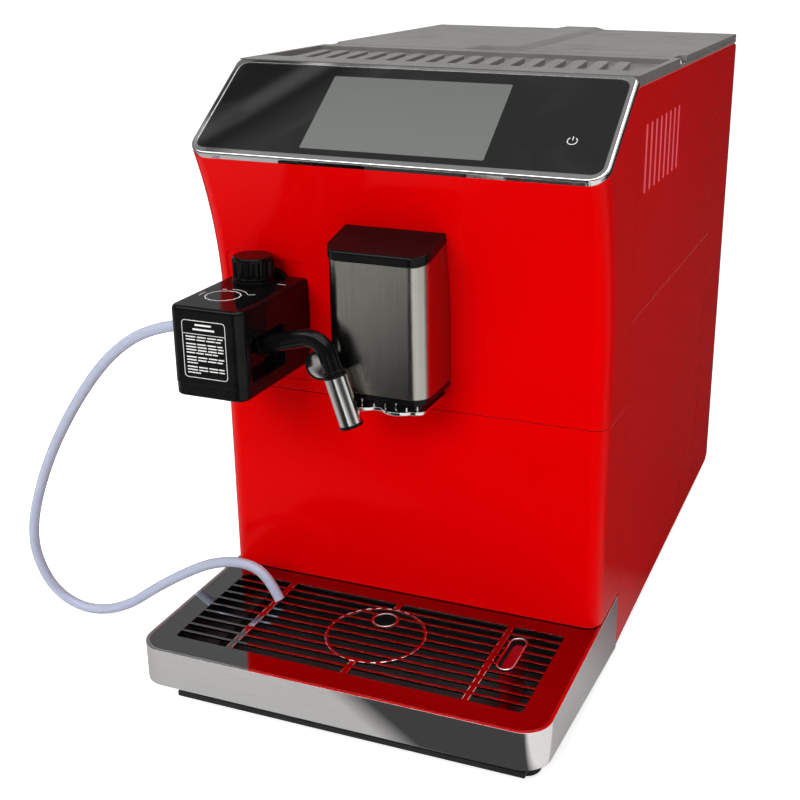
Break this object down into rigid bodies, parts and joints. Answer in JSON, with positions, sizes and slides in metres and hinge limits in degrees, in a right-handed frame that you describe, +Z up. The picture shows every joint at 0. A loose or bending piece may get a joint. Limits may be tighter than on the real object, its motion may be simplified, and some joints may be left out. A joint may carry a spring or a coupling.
{
  "type": "bean-to-cup coffee machine",
  "caption": "Countertop bean-to-cup coffee machine with tilted touch panel, sliding coffee head, clip-on milk frother with hose and pull-out drip tray.",
  "frame": {"origin": "middle of the footprint on the counter, under the feet", "axes": "+Z up, +Y towards the rear panel, front and drip tray at -Y, +X to the right seen from the front"},
  "size_m": [0.4776, 0.595, 0.4599],
  "materials": {
    "red_gloss": "polished",
    "grey_satin": "satin",
    "black_gloss": "polished",
    "black_matte": "fine grain",
    "chrome_trim": "bright plated",
    "tray_mirror": "mirror polished",
    "head_steel": "vertical brushed",
    "tip_steel": "polished",
    "panel_black": "black backed glass",
    "display_grey": "semi matt",
    "foot_rubber": "matt",
    "hose_silicone": "clear tinted",
    "clear_smoke": "smoked clear",
    "sheet_steel": "galvanised",
    "board_green": "solder mask",
    "burr_steel": "ground",
    "boiler_steel": "satin",
    "motor_zinc": "cast",
    "nylon_white": "moulded",
    "float_red": "moulded",
    "screw_zinc": "zinc plated"
  },
  "bodies": {
    "cabinet": {"base_chassis": "black_matte", "feet": "foot_rubber", "inner_frame": "sheet_steel", "upper_front_shell": "red_gloss", "lower_front_panel": "red_gloss", "right_side_panel": "red_gloss", "left_side_panel": "red_gloss", "door_hinge_pins": "sheet_steel", "rear_panel": "black_matte", "power_inlet": "black_matte", "rocker_switch_housing": "black_matte", "panel_frame": "chrome_trim", "panel_glass": "panel_black", "display_module": "display_grey", "control_board": "board_green", "cup_deck": "grey_satin", "top_rear_frame": "grey_satin", "lid_hinge_rods": "sheet_steel", "water_tank": "clear_smoke", "bean_hopper": "clear_smoke", "grinder_housing": "motor_zinc", "upper_burr": "burr_steel", "grinder_motor": "motor_zinc", "brew_frame": "nylon_white", "brew_chamber": "nylon_white", "brew_motor": "motor_zinc", "grounds_bin": "black_matte", "boiler": "boiler_steel", "water_pump": "motor_zinc", "water_tubes": "nylon_white", "power_board": "board_green", "dispenser_guide": "sheet_steel", "frother_dock": "black_gloss", "rear_screws": "screw_zinc"},
    "tray": {"tray_band": "chrome_trim", "tray_plate": "tray_mirror", "tray_pan": "black_matte"},
    "float": {"tray_float": "float_red"},
    "dispenser": {"dispenser_shell": "head_steel", "dispenser_lid": "black_gloss", "dispenser_base": "black_gloss", "nozzle_plate": "chrome_trim", "coffee_nozzles": "tip_steel", "dispenser_carriage": "black_matte"},
    "frother": {"frother_housing": "black_gloss", "frother_bottom_cap": "black_gloss", "hose_collar": "black_gloss", "milk_hose": "hose_silicone"},
    "knob": {"frother_knob": "black_gloss"},
    "spout": {"spout_arm": "black_gloss", "spout_tip": "tip_steel", "spout_end_ring": "black_gloss", "spout_thumb_disc": "black_gloss"},
    "hopper_lid": {"hopper_lid": "grey_satin"},
    "tank_lid": {"tank_lid": "grey_satin"},
    "service_door": {"service_door": "red_gloss"},
    "rocker": {"rocker_key": "black_gloss"},
    "burr": {"lower_burr": "burr_steel"},
    "piston": {"brew_piston": "nylon_white"},
    "screw": {"brew_screw": "burr_steel"}
  },
  "joints": [
    {"name": "tray_slide", "type": "slide", "parent": "cabinet", "child": "tray", "axis": [0, -1, 0], "range_m": [0, 0.19]},
    {"name": "float_rise", "type": "slide", "parent": "tray", "child": "float", "axis": [0, 0, 1], "range_m": [0, 0.006]},
    {"name": "dispenser_height", "type": "slide", "parent": "cabinet", "child": "dispenser", "axis": [0, 0, 1], "range_m": [-0.06, 0]},
    {"name": "frother_pull", "type": "slide", "parent": "cabinet", "child": "frother", "axis": [0, -1, 0], "range_m": [0, 0.03]},
    {"name": "knob_turn", "type": "hinge", "parent": "frother", "child": "knob", "pos_m": [-0.107, -0.1845, 0.31], "axis": [0, 0, 1], "range_deg": [-90, 0]},
    {"name": "spout_swivel", "type": "hinge", "parent": "frother", "child": "spout", "pos_m": [-0.084, -0.2235, 0.273], "axis": [0.9637, 0, 0.2672], "range_deg": [-70, 0]},
    {"name": "hopper_lid_hinge", "type": "hinge", "parent": "cabinet", "child": "hopper_lid", "pos_m": [0.085, 0.2925, 0.4553], "axis": [-1, 0, 0], "range_deg": [0, 80]},
    {"name": "tank_lid_hinge", "type": "hinge", "parent": "cabinet", "child": "tank_lid", "pos_m": [-0.085, 0.2925, 0.4553], "axis": [-1, 0, 0], "range_deg": [0, 80]},
    {"name": "service_door_hinge", "type": "hinge", "parent": "cabinet", "child": "service_door", "pos_m": [0.1515, 0.2045, 0.15], "axis": [0, 0, 1], "range_deg": [0, 95]},
    {"name": "power_rocker", "type": "hinge", "parent": "cabinet", "child": "rocker", "pos_m": [-0.0605, 0.2933, 0.05], "axis": [1, 0, 0], "range_deg": [-8, 8]},
    {"name": "burr_spin", "type": "hinge", "parent": "cabinet", "child": "burr", "pos_m": [0.075, 0.1725, 0.31], "axis": [0, 0, 1], "continuous": true},
    {"name": "brew_piston_rise", "type": "slide", "parent": "cabinet", "child": "piston", "axis": [0, 0, 1], "range_m": [0, 0.024]},
    {"name": "brew_screw_turn", "type": "hinge", "parent": "cabinet", "child": "screw", "pos_m": [0.118, 0.0875, 0.12], "axis": [0, 0, 1], "range_deg": [-720, 0]}
  ],
  "couplings": [
    {"joint": "brew_screw_turn", "follows": "brew_piston_rise", "rad_per_m": -523.6}
  ]
}
